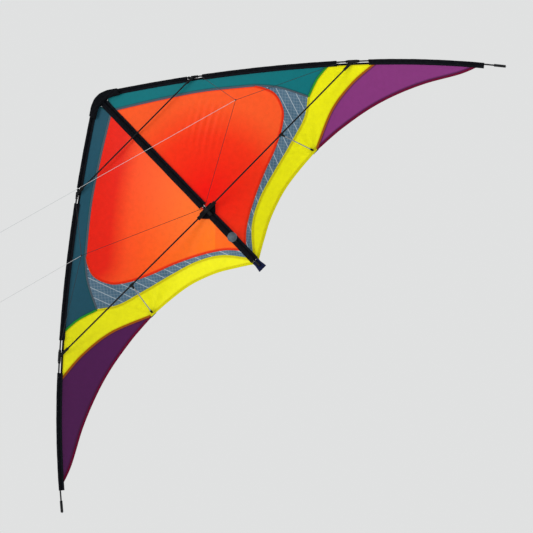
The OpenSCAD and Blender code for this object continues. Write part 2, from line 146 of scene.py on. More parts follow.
def billow(x, z):
    """Depth of the sail behind the frame: none at the leading edge and spine, and at the trailing edge
    a sine of x up to the standoff, then a falling cosine to the tip, shared out down the chord by a power."""
    up = edge_z(x) - INSET
    down = np.minimum(np.interp(x, TRAIL[:, 0], TRAIL[:, 1]), up - 1)
    past = np.clip((x - POCKET[0]) / (TIP_X - POCKET[0]), 0, 1)
    rim = np.where(x < POCKET[0], np.sin(np.pi / 2 * x / POCKET[0]), np.cos(np.pi / 2 * past) ** 0.9)
    chord = np.clip((up - z) / (up - down), 0, 1)
    return SAIL_Y + (SAIL_DEPTH - SAIL_Y) * rim * chord ** 1.15


# Heights in millimetres of the slanting folds and of the rays round the centre, for the right wing and the left.
FOLD_HEIGHT = {True: (1.5, 0.8), False: (0.2, 0.5)}


def bell(value, middle, spread):
    """exp(-((value - middle) / spread) ** 2)."""
    return np.exp(-((value - middle) / spread) ** 2)


def creases(x, z, right):
    """Small folds of the stretched cloth: a set of nearly parallel folds that slant across the main panel, short
    rays round the standoff's pocket and round the centre, and a slow flutter towards the trailing edge."""
    slant = np.radians(34)
    along, beside = x * np.cos(slant) + z * np.sin(slant), z * np.cos(slant) - x * np.sin(slant)
    fan = np.sin(2 * np.pi * beside / 25 + 1.3 * np.sin(along / 60)) * bell(along, 320, 105) * bell(beside, 90, 70)
    near, about = np.hypot(x - POCKET[0], z - POCKET[2]), np.arctan2(z - POCKET[2], x - POCKET[0])
    pinch = np.sin(11 * about + 0.6) * bell(near, 62, 45)
    hub, spin = np.hypot(x, z), np.arctan2(z, x)
    pull = np.sin(19 * spin) * bell(hub, 130, 60) * bell(spin, -0.6, 0.5)
    down = np.interp(x, TRAIL[:, 0], TRAIL[:, 1])
    flutter = np.sin(x / 31.0) * np.exp(-((z - down) / 40.0))
    flutter = flutter * np.clip((x - 470) / 150, 0, 1) * np.clip((1100 - x) / 150, 0, 1)
    fold, drawn = FOLD_HEIGHT[right]
    return fold * fan + 1.3 * pinch + drawn * pull + 1.2 * flutter


def on_sail(plan, side, lift=0.0):
    """Plan points carried on to the sail of one wing, lift millimetres in front of it, in metres."""
    x, z = plan[..., 0], plan[..., 1]
    y = billow(x, z) + creases(x, z, side == "right") - lift
    return np.stack([x * SIDES[side], y, z], -1) * MM


# ---------------------------------------------------------------- making meshes


def unit(v):
    """The vectors' directions, at length 1."""
    return v / np.maximum(np.linalg.norm(v, axis=-1, keepdims=True), 1e-12)


def build(name, points, material, body, around=False, along=False, ends=False, uv=None, fields=None, face=None):
    """A piece from an n by m grid of points, in metres. around joins its last column to its first, along its
    last row to its first, and ends closes its first and last rows. Closed pieces are turned so that their
    volume is positive, and open ones so that they face along face. uv is given for n by m (+1 where joined)."""
    n, m = points.shape[:2]
    rows, cols = n + along, m + around
    at = (np.arange(rows) % n)[:, None] * m + (np.arange(cols) % m)[None, :]
    here = np.arange(rows * cols).reshape(rows, cols)

    def cells(g):
        return np.stack([g[:-1, :-1], g[:-1, 1:], g[1:, 1:], g[1:, :-1]], -1).reshape(-1, 4)

    quads, corners = cells(at), cells(here)
    flat = points.reshape(-1, 3)
    a, b, c, d = (flat[quads[:, k]] for k in range(4))
    area = np.cross(c - a, d - b)
    outward = (area * (a if face is None else np.array([face], float))).sum()
    if outward < 0:
        quads, corners = quads[:, ::-1], corners[:, ::-1]
    caps = [list(range(m)), list(range((n - 1) * m, n * m))] if ends else []
    if caps:
        caps[0 if outward >= 0 else 1].reverse()
    mesh = bpy.data.meshes.new(name)
    mesh.from_pydata(flat, [], quads.tolist() + caps)
    if uv is not None:
        layer = mesh.uv_layers.new(name="cut")
        values = np.concatenate([uv.reshape(-1, 2)[corners.ravel()], np.zeros((m * len(caps), 2))])
        layer.data.foreach_set("uv", values.astype(np.float32).ravel())
    for key, value in (fields or {}).items():
        mesh.attributes.new(key, "FLOAT", "POINT").data.foreach_set("value", value.astype(np.float32).ravel())
    mesh.polygons.foreach_set("use_smooth", np.ones(len(mesh.polygons), bool))
    mesh.materials.append(material)
    mesh.update()
    piece = bpy.data.objects.new(name, mesh)
    scene.collection.objects.link(piece)
    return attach(piece, body)


def sweep(name, path, across, profile, material, body, v=None, along=False):
    """A profile carried along a path. The profile's first number goes along across, made square to the path,
    and its second along path direction x across. u is the length along the path and v is v, or the profile's
    own first number. profile is m by 2, or n by m by 2 where it changes on its way. along makes it endless."""
    step = np.roll(path, -1, 0) - np.roll(path, 1, 0) if along else np.gradient(path, axis=0)
    t = unit(step)
    a = np.broadcast_to(across, path.shape)
    a = unit(a - (a * t).sum(-1, keepdims=True) * t)
    up = np.cross(t, a)
    shape = np.broadcast_to(profile, (len(path),) + profile.shape[-2:])
    points = path[:, None] + a[:, None] * shape[..., :1] + up[:, None] * shape[..., 1:]
    track = np.concatenate([path, path[:1]]) if along else path
    u = np.concatenate([[0], np.cumsum(np.linalg.norm(np.diff(track, axis=0), axis=1))])
    v = shape[0, :, 0] if v is None else v
    if len(v) == shape.shape[1]:
        v = np.append(v, v[0])
    uv = np.stack(np.broadcast_arrays(u[:, None], np.asarray(v)[None, :]), -1)
    return build(name, points, material, body, around=True, along=along, ends=not along, uv=uv)


def ring(radius, sides=12):
    """A round profile of that radius."""
    a = 2 * np.pi * np.arange(sides) / sides
    return radius * np.stack([np.cos(a), np.sin(a)], -1)


def strap(half_width, half_thick, sides=20):
    """A flat profile with soft edges: cos and sin of the turn, each to a low power, so that it is nearly a bar."""
    a = 2 * np.pi * (np.arange(sides) + 0.5) / sides
    c, s = np.cos(a), np.sin(a)
    return np.stack([half_width * np.sign(c) * np.abs(c) ** 0.55, half_thick * np.sign(s) * np.abs(s) ** 0.5], -1)


def line_between(a, b, n):
    """n points evenly spaced from a to b."""
    return np.asarray(a, float) + np.linspace(0, 1, n)[:, None] * (np.asarray(b, float) - np.asarray(a, float))


def cord(name, path, diameter, material, body, nodes):
    """A round line along path, in metres: a ring profile, with u the length and v one turn round it."""
    side = np.cross(path[-1] - path[0], [0.31, 0.17, 0.93])
    piece = sweep(name, path, side, ring(diameter / 2), material, body, v=np.linspace(0, 1, 13))
    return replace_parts(piece, *nodes)


# ---------------------------------------------------------------- making materials


def linear(code):
    """sRGB hex to the linear colour that a shader takes: c / 12.92, or ((c + 0.055) / 1.055) ** 2.4 above 0.04."""
    c = np.array([int(code[i:i + 2], 16) for i in (1, 3, 5)]) / 255
    return (*np.where(c <= 0.04045, c / 12.92, ((c + 0.055) / 1.055) ** 2.4), 1.0)


def add(tree, kind, inputs=None, stops=None, **settings):
    """Adds a node. settings are its own properties; inputs are its sockets by name or number, each given a value,
    a hex colour, a socket or a node, whose first output is taken; stops are a ramp's places and hex colours."""
    node = tree.nodes.new("ShaderNode" + kind)
    for key, value in settings.items():
        setattr(node, key, value)
    for key, value in (inputs or {}).items():
        value = value.outputs[0] if isinstance(value, bpy.types.Node) else value
        if isinstance(value, bpy.types.NodeSocket):
            tree.links.new(value, node.inputs[key])
        else:
            node.inputs[key].default_value = linear(value) if isinstance(value, str) else value
    for i, (place, code) in enumerate(stops or ()):
        stop = node.color_ramp.elements[i] if i < 2 else node.color_ramp.elements.new(place)
        stop.position, stop.color = place, linear(code)
    return node


def begin(name):
    """An empty material and its node tree."""
    material = bpy.data.materials.new(name)
    material.use_nodes = True
    material.node_tree.nodes.clear()
    return material, material.node_tree


def grid_lines(tree, value, pitch, width):
    """1 on lines that are width wide and stand pitch apart along value, all in metres, and 0 between them."""
    near = add(tree, "Math", {0: value, 1: pitch / 2}, operation="PINGPONG")
    return add(tree, "MapRange", {"Value": near, "From Min": width * 0.35, "From Max": width * 0.65,
                                  "To Min": 1.0, "To Max": 0.0})


def zigzag(tree, u, v, pitch, half, place, thread):
    """1 on a zigzag stitch that runs along u about v = place: the distance of v from a triangle wave of u."""
    wave = add(tree, "Math", {0: u, 1: pitch / 2}, operation="PINGPONG")
    wave = add(tree, "MapRange", {"Value": wave, "From Min": 0.0, "From Max": pitch / 2,
                                  "To Min": place - half, "To Max": place + half})
    off = add(tree, "Math", {0: v, 1: wave}, operation="SUBTRACT")
    off = add(tree, "Math", {0: off}, operation="ABSOLUTE")
    return add(tree, "MapRange", {"Value": off, "From Min": thread * 0.4, "From Max": thread * 0.7,
                                  "To Min": 1.0, "To Max": 0.0})


def ripstop(name, across, edge, glow=0.3):
    """Ripstop nylon, woven, dyed and calendered: a thin crisp cloth with a slight gloss that light shines through.
    across gives its colour over each piece's tone, which is painted light: the sun shining through the cloth,
    brighter or deeper across each wing. edge is painted shade, the deeper colour that light shining through two
    layers of cloth gives at seams, and the ripstop threads are tinted with it too.
    The ripstop squares are 5 mm, and their 0.4 mm threads are drawn 0.6 mm wide so that they show."""
    material, tree = begin(name)
    cut = add(tree, "UVMap", uv_map="cut")
    uv = add(tree, "SeparateXYZ", {0: cut})
    squares = add(tree, "Math", {0: grid_lines(tree, uv.outputs[0], 0.005, 0.0006),
                                 1: grid_lines(tree, uv.outputs[1], 0.005, 0.0006)}, operation="MAXIMUM")
    # Painted shade: within a few millimetres of each panel's outline, where two layers of cloth lie, the colour
    # turns to the deeper edge colour.
    rim = add(tree, "Attribute", attribute_name="rim")
    doubled = add(tree, "MapRange", {"Value": rim.outputs["Fac"], "From Min": 0.003, "From Max": 0.009,
                                     "To Min": 1.0, "To Max": 0.0})
    crinkle = add(tree, "TexNoise", {"Vector": cut, "Scale": 55.0, "Detail": 3.0, "Roughness": 0.6})
    # Painted light: the tone attribute places each piece on its ramp, as brighter or deeper light shining through
    # the wing.
    tone = add(tree, "Attribute", attribute_name="tone")
    base = add(tree, "ValToRGB", {0: tone.outputs["Fac"]}, stops=across)
    base = add(tree, "MixRGB", {"Fac": doubled, "Color1": base, "Color2": edge})
    mottle = add(tree, "MapRange", {"Value": crinkle, "From Min": 0.3, "From Max": 0.7,
                                    "To Min": 0.95, "To Max": 1.03})
    base = add(tree, "MixRGB", {"Fac": 1.0, "Color1": base, "Color2": mottle}, blend_type="MULTIPLY")
    thread = add(tree, "Math", {0: squares, 1: 0.09}, operation="MULTIPLY")
    base = add(tree, "MixRGB", {"Fac": thread, "Color1": base, "Color2": edge})
    height = add(tree, "Math", {0: squares, 1: 0.12}, operation="MULTIPLY")
    height = add(tree, "Math", {0: height, 1: crinkle}, operation="ADD")
    bump = add(tree, "Bump", {"Height": height, "Strength": 0.35, "Distance": 0.0012})
    front = add(tree, "BsdfPrincipled", {"Base Color": base, "Normal": bump, "Roughness": 0.42, "IOR": 1.53,
                                         "Specular IOR Level": 0.16})
    behind = add(tree, "BsdfTranslucent", {"Color": base, "Normal": bump})
    cloth = add(tree, "MixShader", {0: glow, 1: front, 2: behind})
    add(tree, "OutputMaterial", {"Surface": cloth})
    return material


def tape(name, body, worn, thread, rows=(), weave=0.0011):
    """Woven polyester tape, heat-set: matt, close, and a little paler where it rubs. The threads are 0.4 mm and are
    drawn as coarse as weave so that they show. rows are the places across it of its zigzag stitches, in metres."""
    material, tree = begin(name)
    cut = add(tree, "UVMap", uv_map="cut")
    uv = add(tree, "SeparateXYZ", {0: cut})
    warp = add(tree, "Math", {0: uv.outputs[0], 1: weave / 2}, operation="PINGPONG")
    weft = add(tree, "Math", {0: uv.outputs[1], 1: weave / 2}, operation="PINGPONG")
    woven = add(tree, "Math", {0: warp, 1: weft}, operation="ADD")
    woven = add(tree, "MapRange", {"Value": woven, "From Min": 0.0, "From Max": weave})
    rub = add(tree, "TexNoise", {"Vector": cut, "Scale": 90.0, "Detail": 4.0, "Roughness": 0.65})
    rubbed = add(tree, "MapRange", {"Value": rub, "From Min": 0.45, "From Max": 0.75})
    base = add(tree, "MixRGB", {"Fac": rubbed, "Color1": body, "Color2": worn})
    # Painted shade: the weave is darker in its hollows and lighter on its raised threads.
    shade = add(tree, "MapRange", {"Value": woven, "To Min": 0.82, "To Max": 1.12})
    base = add(tree, "MixRGB", {"Fac": 1.0, "Color1": base, "Color2": shade}, blend_type="MULTIPLY")
    height = woven
    for place in rows:
        stitch = zigzag(tree, uv.outputs[0], uv.outputs[1], 0.004, 0.0012, place, 0.0007)
        base = add(tree, "MixRGB", {"Fac": stitch, "Color1": base, "Color2": thread})
        height = add(tree, "Math", {0: height, 1: stitch}, operation="ADD")
    bump = add(tree, "Bump", {"Height": height, "Strength": 0.5, "Distance": 0.0004})
    shader = add(tree, "BsdfPrincipled", {"Base Color": base, "Normal": bump, "Roughness": 0.86, "IOR": 1.5,
                                          "Specular IOR Level": 0.06})
    add(tree, "OutputMaterial", {"Surface": shader})
    return material


def seam(name, body, thread, half):
    """A lapped seam, two layers of cloth stitched down with two rows of zigzag: a line deeper than the cloth, as
    painted shade of light shining through both layers.
    """
    return tape(name, body, body, thread, rows=(-half * 0.5, half * 0.5), weave=0.0016)


def scrim(name):
    """Laminated scrim, a grey-blue film with polyester yarns bonded into it: glossy, slightly see-through, with a
    grid of pale yarns. The long yarns stand 30 mm apart; yarns of 0.6 mm are drawn 1.7 mm wide so that they show."""
    material, tree = begin(name)
    cut = add(tree, "UVMap", uv_map="cut")
    turned = add(tree, "Mapping", {"Vector": cut, "Rotation": (0, 0, np.radians(21))})
    uv = add(tree, "SeparateXYZ", {0: turned})
    bias = add(tree, "Mapping", {"Vector": cut, "Rotation": (0, 0, np.radians(-40))})
    uw = add(tree, "SeparateXYZ", {0: bias})
    long = grid_lines(tree, uv.outputs[0], 0.03, 0.0022)
    fine = add(tree, "Math", {0: grid_lines(tree, uw.outputs[0], 0.011, 0.0010),
                              1: grid_lines(tree, uw.outputs[1], 0.011, 0.0010)}, operation="MAXIMUM")
    fine = add(tree, "Math", {0: fine, 1: 0.42}, operation="MULTIPLY")
    yarn = add(tree, "Math", {0: long, 1: fine}, operation="MAXIMUM")
    haze = add(tree, "TexNoise", {"Vector": cut, "Scale": 16.0, "Detail": 2.0})
    film = add(tree, "ValToRGB", {0: haze}, stops=((0.3, "#3f6076"), (0.7, "#4e6e84")))
    base = add(tree, "MixRGB", {"Fac": yarn, "Color1": film, "Color2": "#a9b6c0"})
    bump = add(tree, "Bump", {"Height": yarn, "Strength": 0.6, "Distance": 0.0005})
    solid = add(tree, "MapRange", {"Value": yarn, "To Min": 0.97, "To Max": 1.0})
    shader = add(tree, "BsdfPrincipled", {"Base Color": base, "Normal": bump, "Roughness": 0.34, "IOR": 1.5,
                                          "Specular IOR Level": 0.25, "Alpha": solid})
    add(tree, "OutputMaterial", {"Surface": shader})
    return material


def braid(name, body, other, pitch):
    """Braided line: two sets of strands that cross as they wind round it, with a matt sheen; the gaps between the
    strands are painted darker, as painted shade.
    """
    material, tree = begin(name)
    uv = add(tree, "SeparateXYZ", {0: add(tree, "UVMap", uv_map="cut")})
    turns = add(tree, "Math", {0: uv.outputs[0], 1: 1 / pitch}, operation="MULTIPLY")
    strands = []
    for sign in (1, -1):
        wound = add(tree, "Math", {0: uv.outputs[1], 1: 3.0 * sign, 2: turns}, operation="MULTIPLY_ADD")
        strands.append(add(tree, "Math", {0: wound, 1: 0.5}, operation="PINGPONG"))
    over = add(tree, "Math", {0: strands[0], 1: strands[1]}, operation="MULTIPLY")
    over = add(tree, "MapRange", {"Value": over, "From Max": 0.25})
    # Painted shade: the low places between the strands take the deeper colour.
    base = add(tree, "ValToRGB", {0: over}, stops=((0.1, other), (0.7, body)))
    bump = add(tree, "Bump", {"Height": over, "Strength": 0.6, "Distance": 0.0002})
    shader = add(tree, "BsdfPrincipled", {"Base Color": base, "Normal": bump, "Roughness": 0.7, "IOR": 1.5,
                                          "Specular IOR Level": 0.3})
    add(tree, "OutputMaterial", {"Surface": shader})
    return material


def solid(name, body, worn, rough, grain, depth, **shine):
    """A hard finish in Object coordinates: a slow change of tone, and a fine grain as bump and roughness. grain is
    the number of grains to a metre, and depth the height of its bump in metres."""
    material, tree = begin(name)
    place = add(tree, "TexCoord").outputs["Object"]
    fine = add(tree, "TexNoise", {"Vector": place, "Scale": grain, "Detail": 4.0, "Roughness": 0.6})
    slow = add(tree, "TexNoise", {"Vector": place, "Scale": 60.0, "Detail": 2.0})
    mark = add(tree, "Math", {0: fine, 1: slow}, operation="MULTIPLY")
    base = add(tree, "ValToRGB", {0: mark}, stops=((0.16, body), (0.42, worn)))
    gloss = add(tree, "MapRange", {"Value": fine, "To Min": rough * 0.85, "To Max": min(1.0, rough * 1.2)})
    bump = add(tree, "Bump", {"Height": fine, "Strength": 0.4, "Distance": depth})
    shader = add(tree, "BsdfPrincipled", {"Base Color": base, "Normal": bump, "Roughness": gloss,
                                          "Specular IOR Level": 0.12, **shine})
    add(tree, "OutputMaterial", {"Surface": shader})
    return material


DACRON = tape("woven_polyester_tape", "#0a0b10", "#14161c", "#1c1f26")
SLEEVING = tape("woven_polyester_sleeve", "#0a0b10", "#14161c", "#20232b", rows=(-0.0118, -0.0086))
SPINE_TAPE = tape("woven_polyester_spine_tape", "#0a0b10", "#14161c", "#20232b",
                  rows=(-0.0128, -0.0092, 0.0092, 0.0128))
WEBBING = tape("nylon_webbing_black", "#090a0e", "#12141a", "#1e2128", rows=(-0.006, 0.006), weave=0.0019)
NAVY = tape("nylon_webbing_navy", "#101430", "#1a2146", "#2a3258", rows=(-0.011, 0.011), weave=0.0019)
# Painted light: each ramp's left and right halves are lit and shaded copies of one cloth, with the left wing's teal
# and purple deeper and its orange brighter, and the main panels running from a deeper red near a seam or the spine.
# The colour after each ramp is painted shade of light shining through two layers of cloth at seams.
TEAL = ripstop("ripstop_nylon_teal",
               ((0.0, "#22586c"), (0.48, "#246072"), (0.52, "#00838a"), (1.0, "#007c84")), "#08545a", glow=0.25)
ORANGE = ripstop("ripstop_nylon_orange",
                 ((0.0, "#f22410"), (0.08, "#f22812"), (0.15, "#ff5c22"), (0.3, "#ff6e12"), (0.499, "#ff8400"),
                  (0.501, "#ff0c00"), (0.81, "#fe3a10"), (1.0, "#ff6628")), "#f0260c")
YELLOW = ripstop("ripstop_nylon_yellow", ((0.0, "#f6f414"), (1.0, "#f6f404")), "#d8cc08")
PURPLE = ripstop("ripstop_nylon_purple",
                 ((0.0, "#5a1c5c"), (0.4, "#5a1c5c"), (0.6, "#7a3274"), (1.0, "#943a88")), "#4a1040", glow=0.25)
FILM = scrim("laminated_scrim")
# Painted shade: seams and hems are two layers of cloth, and their colours are those that light shining through both
# gives, so teal over yellow is green and purple over yellow is brown.
SEAM_GREY = seam("seam_grey", "#4a5560", "#5d6a74", 0.004)
SEAM_ORANGE = seam("seam_orange", "#e03412", "#b3280e", 0.004)
SEAM_BROWN = seam("seam_brown", "#a85a10", "#7d3f0c", 0.004)
SEAM_GREEN = seam("seam_green", "#2f9a2a", "#1f6d2a", 0.004)
SEAM_YELLOW = seam("seam_yellow", "#d8d010", "#a59a0c", 0.004)
HEM_YELLOW = seam("hem_mustard", "#dcd60c", "#8f8a10", 0.0045)
HEM_MAROON = seam("hem_maroon", "#6a0a30", "#4a0724", 0.006)
# Painted shade: the second colour of each line fills the gaps of its braid.
BRIDLE = braid("braided_polyester_bridle", "#23252d", "#101216", 0.0042)
FLYING = braid("braided_polyethylene_line", "#f1f2f2", "#c3c7ca", 0.0038)
# Pultruded and sanded carbon tube: near black, with a soft satin gloss and a fine grain.
CARBON = solid("pultruded_carbon_tube", "#0b0c0e", "#17191d", 0.36, 900.0, 0.00008, IOR=1.55)
# Glass-fibre rod: grey, translucent resin over pale fibres, with a clean gloss.
GLASS = solid("pultruded_glass_rod", "#85898e", "#a9adb1", 0.3, 700.0, 0.00006, IOR=1.52)
# Injection-moulded nylon fitting: black with a fine spark-eroded grain.
MOULDED = solid("moulded_nylon_fitting", "#08090b", "#131519", 0.5, 1500.0, 0.00012, IOR=1.53)
# Vinyl cap and push-on ring: soft, dull black rubber.
VINYL = solid("vinyl_cap", "#0e0f12", "#1a1c20", 0.68, 1100.0, 0.0001, IOR=1.5)
# Polycarbonate disc, moulded, with a satin face.
PLATE = solid("moulded_grey_disc", "#3f484e", "#5d676e", 0.5, 1200.0, 0.00008, IOR=1.58)
# Drawn and anodised aluminium ferrule.
FERRULE = solid("anodised_aluminium", "#a9adb2", "#c2c5c9", 0.3, 1400.0, 0.00006, Metallic=1.0)


# ---------------------------------------------------------------- the camera, light and floor

# The eye looks up at the kite, which is banked in its turn. The lens is long, as for something flying overhead.
LENS, SENSOR = 700.0, 36.0              # millimetres
AWAY = 39.354                           # metres from the aim
BANK = 43.79                            # degrees
AIM_RIGHT, AIM_UP = 0.2252, -0.2115     # metres from the centre fitting, in the picture's own directions
toward = unit(np.array([0.0960, -0.9652, -0.2431]))
rise = unit(np.array([0.0, 0.0, 1.0]) - toward[2] * toward)
bank = np.radians(BANK)
up = np.cos(bank) * rise + np.sin(bank) * np.cross(rise, toward)
right = np.cross(up, toward)
eye = bpy.data.objects.new("eye", bpy.data.cameras.new("eye"))
scene.collection.objects.link(eye)
eye.data.lens, eye.data.sensor_width = LENS, SENSOR
eye.data.clip_start, eye.data.clip_end = 1.0, 400.0
aim = AIM_RIGHT * right + AIM_UP * up
turned = np.eye(4)
turned[:3, 0], turned[:3, 1], turned[:3, 2], turned[:3, 3] = right, up, toward, aim + AWAY * toward
eye.matrix_world = Matrix(turned.tolist())
scene.camera = eye

scene.view_settings.view_transform = "Standard"
scene.world = bpy.data.worlds.new("soft_room")
scene.world.use_nodes = True
room = scene.world.node_tree.nodes["Background"]
room.inputs["Color"].default_value = linear("#f1f2f2")
room.inputs["Strength"].default_value = 0.85


def lamp(name, direction, strength, softness):
    """A broad soft sun that shines from direction."""
    data = bpy.data.lights.new(name, "SUN")
    data.energy, data.angle = strength, np.radians(softness)
    lit = bpy.data.objects.new(name, data)
    lit.rotation_mode = "QUATERNION"
    lit.rotation_quaternion = Vector(direction).to_track_quat("Z", "Y")
    scene.collection.objects.link(lit)


lamp("key", (-0.75, -1.0, 0.35), 1.35, 24)
lamp("fill", (0.5, 1.0, 0.6), 0.7, 40)

# The plain floor lies well below the kite, and below the eye, which looks up from under it.
FLOOR_Z, FLOOR_HALF = -12.0, 150.0
span = np.linspace(-FLOOR_HALF, FLOOR_HALF, 3)
ground = np.stack(np.meshgrid(span, span, [FLOOR_Z], indexing="ij"), -1)[:, :, 0]
floor_material, floor_tree = begin("pale_floor")
floor_shader = add(floor_tree, "BsdfPrincipled", {"Base Color": "#e4e5e4", "Roughness": 0.9})
add(floor_tree, "OutputMaterial", {"Surface": floor_shader})
floor = build("floor", ground, floor_material, "spine", face=(0, 0, 1))
floor.parent = None


# ---------------------------------------------------------------- bridle and flying lines


def toward_point(a, b, d):
    """The point on the way from a to b, d from a."""
    return a + (b - a) * d / np.linalg.norm(b - a)


def at3(s, front):
    """The place at s on the leading edge, front millimetres before its axis."""
    p = edge_point(s)
    return np.array([p[0], -front, p[1]])


def knot(name, centre, axis, size, thread, material, body):
    """A tied knot: a tube along a trefoil, (sin t + 2 sin 2t, cos t - 2 cos 2t, -1.5 sin 3t), at its size."""
    t = 2 * np.pi * np.arange(72) / 72
    form = np.stack([np.sin(t) + 2 * np.sin(2 * t), np.cos(t) - 2 * np.cos(2 * t), -1.5 * np.sin(3 * t)], -1) / 3.2
    w = unit(np.asarray(axis, float))
    a = unit(np.cross(w, [0.2, 0.3, 0.9]))
    turn = np.stack([a, np.cross(w, a), w])
    path = (form * size) @ turn + centre
    return sweep(name, path * MM, (path - centre) + 1e-6, ring(thread / 2 * MM, 8), material, body,
                 v=np.linspace(0, 1, 9), along=True)


# Where the bridle is tied to the leading edge, and the tension line's hitch and its last place on the rod.
TOP_TIE, LOW_TIE = UPPER_S + 27, LOWER_S - 38
HITCH_S, REST_S = 1508 * K, 1545 * K


for side, sign in SIDES.items():
    flip = np.array([sign, 1, 1])
    wing = f"wing_{side}"
    line_end = TOW + LINE_DIR * LINE_LEN[side] if side == "right" else TOW + LINE_DIR * [-1, 1, 1] * LINE_LEN[side]
    top, low = at3(TOP_TIE, TUBE_R + 1), at3(LOW_TIE, TUBE_R + 1)
    # The outer leg turns round the tow point inside its knot, on a bend two diameters wide.
    entry, leave = toward_point(TOW, top, 4.6), toward_point(TOW, low, 4.6)
    t = np.linspace(0, 1, 7)[1:-1, None]
    bend = (1 - t) ** 2 * entry + 2 * t * (1 - t) * TOW + t ** 2 * leave
    path = np.concatenate([line_between(top, entry, 14), bend, line_between(leave, low, 14)]) * flip * MM
    outer = cord(f"bridle_outer_line_{side}", path, 0.0016, BRIDLE, wing, [f"bridle_outer_{side}"])
    tow_knot = knot(f"tow_knot_{side}", TOW * flip, LINE_DIR, 2.9, 1.9, BRIDLE, wing)
    end_knot = knot(f"end_knot_{side}", line_end * flip, LINE_DIR, 2.7, 1.5, FLYING, wing)
    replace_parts(tow_knot, f"line_knots_{side}")
    away = unit(TOW * [1, 1, 0])
    foot = np.array([0, 0, 17.0]) + away * (TUBE_R + 4.4)
    inhaul_path = line_between(toward_point(TOW, foot, 3.8), foot, 20) * flip * MM
    inhaul = cord(f"bridle_inhaul_line_{side}", inhaul_path, 0.0016, BRIDLE, wing, [f"bridle_inhaul_{side}"])
    line_path = line_between(toward_point(TOW, line_end, 3.6), toward_point(line_end, TOW, 3.6), 24) * flip * MM
    flying = cord(f"flying_line_run_{side}", line_path, 0.0014, FLYING, wing, [f"flying_line_{side}"])
    # Tension line: out along the front to the nock, over its end and back behind.
    out = TUBE_R + 3.2
    front = ((HITCH_S, out), (REST_S, out), (ROD_STOP, out), (ROD_STOP + 9, out), (ROD_STOP + 12, 1.8))
    route = np.array([at3(s, depth) for s, depth in front] + [at3(s, -depth) for s, depth in front[::-1]])
    sweep(f"tension_cord_{side}", smooth(route, 5) * flip * MM, np.array([sign, 0, 1.0]), ring(0.0008), BRIDLE, wing,
          v=np.linspace(0, 1, 13))
    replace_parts(bpy.data.objects[f"tension_cord_{side}"], f"tension_line_{side}")


# ---------------------------------------------------------------- the sail


def rim_distance(plan, loop):
    """Distance of each plan point from the nearest point of the panel's outline, in metres."""
    flat = plan.reshape(-1, 2)
    parts = np.array_split(flat, max(1, len(flat) // 4000))
    near = np.concatenate([np.sqrt(((part[:, None] - loop[None]) ** 2).sum(-1)).min(1) for part in parts])
    return near.reshape(plan.shape[:2]) * MM


def gradient(plan, name, side):
    """Where a piece's colour stands on its ramp, as painted light of the sun shining through the cloth: 0 to 0.5 on
    the left wing and 0.5 to 1 on the right. The left main panel follows the distance from its upper seam, and the
    right one the distance from a place beside the spine."""
    if name != "cloth_main":
        return np.full(plan.shape[:2], 1.0 if side == "right" else 0.0)
    if side == "right":
        return 0.502 + 0.498 * np.clip(np.hypot(plan[..., 0] - 45, plan[..., 1] - 60) / 350, 0, 1)
    gap = rim_distance(plan, even(SEAM_MAIN, 200)) / MM
    return 0.498 * np.clip(gap / 500, 0, 1)


def thicken(piece, name, thick):
    """Gives a sheet its thickness, in millimetres, behind the face it was built with."""
    wall = piece.modifiers.new(name, "SOLIDIFY")
    wall.thickness, wall.offset = thick * MM, -1.0


def panel(name, node, side, inner, outer, across, material):
    """One panel of the sail: straight rules from an inner to an outer row of plan points, carried on to the
    billowed surface, so that neighbours meet in one continuous sheet. Its cut is its plan."""
    plan = inner[:, None] + (outer - inner)[:, None] * np.linspace(0, 1, across + 1)[None, :, None]
    loop = np.concatenate([even(inner, 240), even(outer, 240), line_between(inner[0], outer[0], 20),
                           line_between(inner[-1], outer[-1], 20)])
    points = on_sail(plan, side)
    # Painted light and shade: tone sets each panel's painted glow of light through the cloth, and rim where the
    # painted shade along its outline falls.
    fields = {"rim": rim_distance(plan, loop), "tone": gradient(plan, name, side)}
    piece = build(f"{name}_{side}", points, material, f"wing_{side}", uv=plan * MM, fields=fields, face=(0, -1, 0))
    thicken(piece, "cloth", 0.4)
    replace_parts(piece, f"{node}_{side}")
    a, b = points[:-1, :-1], points[1:, 1:]
    area = np.linalg.norm(np.cross(b - a, points[1:, :-1] - points[:-1, 1:]), axis=-1).sum() / 2
    length = max(np.linalg.norm(np.diff(points[:, k], axis=0), axis=-1).sum() for k in (0, -1))
    width = np.linalg.norm(points[:, 0] - points[:, -1], axis=-1).max()
    if area < 0.32 * width * length:
        width = area / (0.6 * length)
    return piece, (float(width), float(length), float(min(area, width * length)))


def sail_strip(name, side, curve, half, lift, material, thick=0.55):
    """A narrow tape along a curve on the sail: path and width both lie in the surface, square to each other."""
    plan = even(curve, max(24, int(np.linalg.norm(np.diff(curve, axis=0), axis=1).sum() / 7)))
    direction = unit(np.gradient(plan, axis=0))
    beside = np.stack([-direction[:, 1], direction[:, 0]], -1)
    path = on_sail(plan, side, lift)
    across = on_sail(plan + beside * 2, side, lift) - on_sail(plan - beside * 2, side, lift)
    return sweep(f"{name}_{side}", path, across, strap(half * MM, thick * MM), material, f"wing_{side}")


SEAMS = {
    "seam_main": (SEAM_MAIN, 4.0, SEAM_GREY, "sail_teal"),
    "seam_main_lower": (EDGE_MAIN, 3.0, SEAM_ORANGE, "sail_orange"),
    "seam_scrim_upper": (EDGE_SCRIM, 3.5, SEAM_GREY, "sail_teal"),
    "seam_scrim_lower": (EDGE_BAND, 3.0, SEAM_YELLOW, "sail_yellow"),
    "seam_band": (SEAM_BAND, 3.5, SEAM_GREEN, "sail_teal"),
    "seam_tip": (SEAM_TIP, 4.0, SEAM_BROWN, "sail_purple"),
}

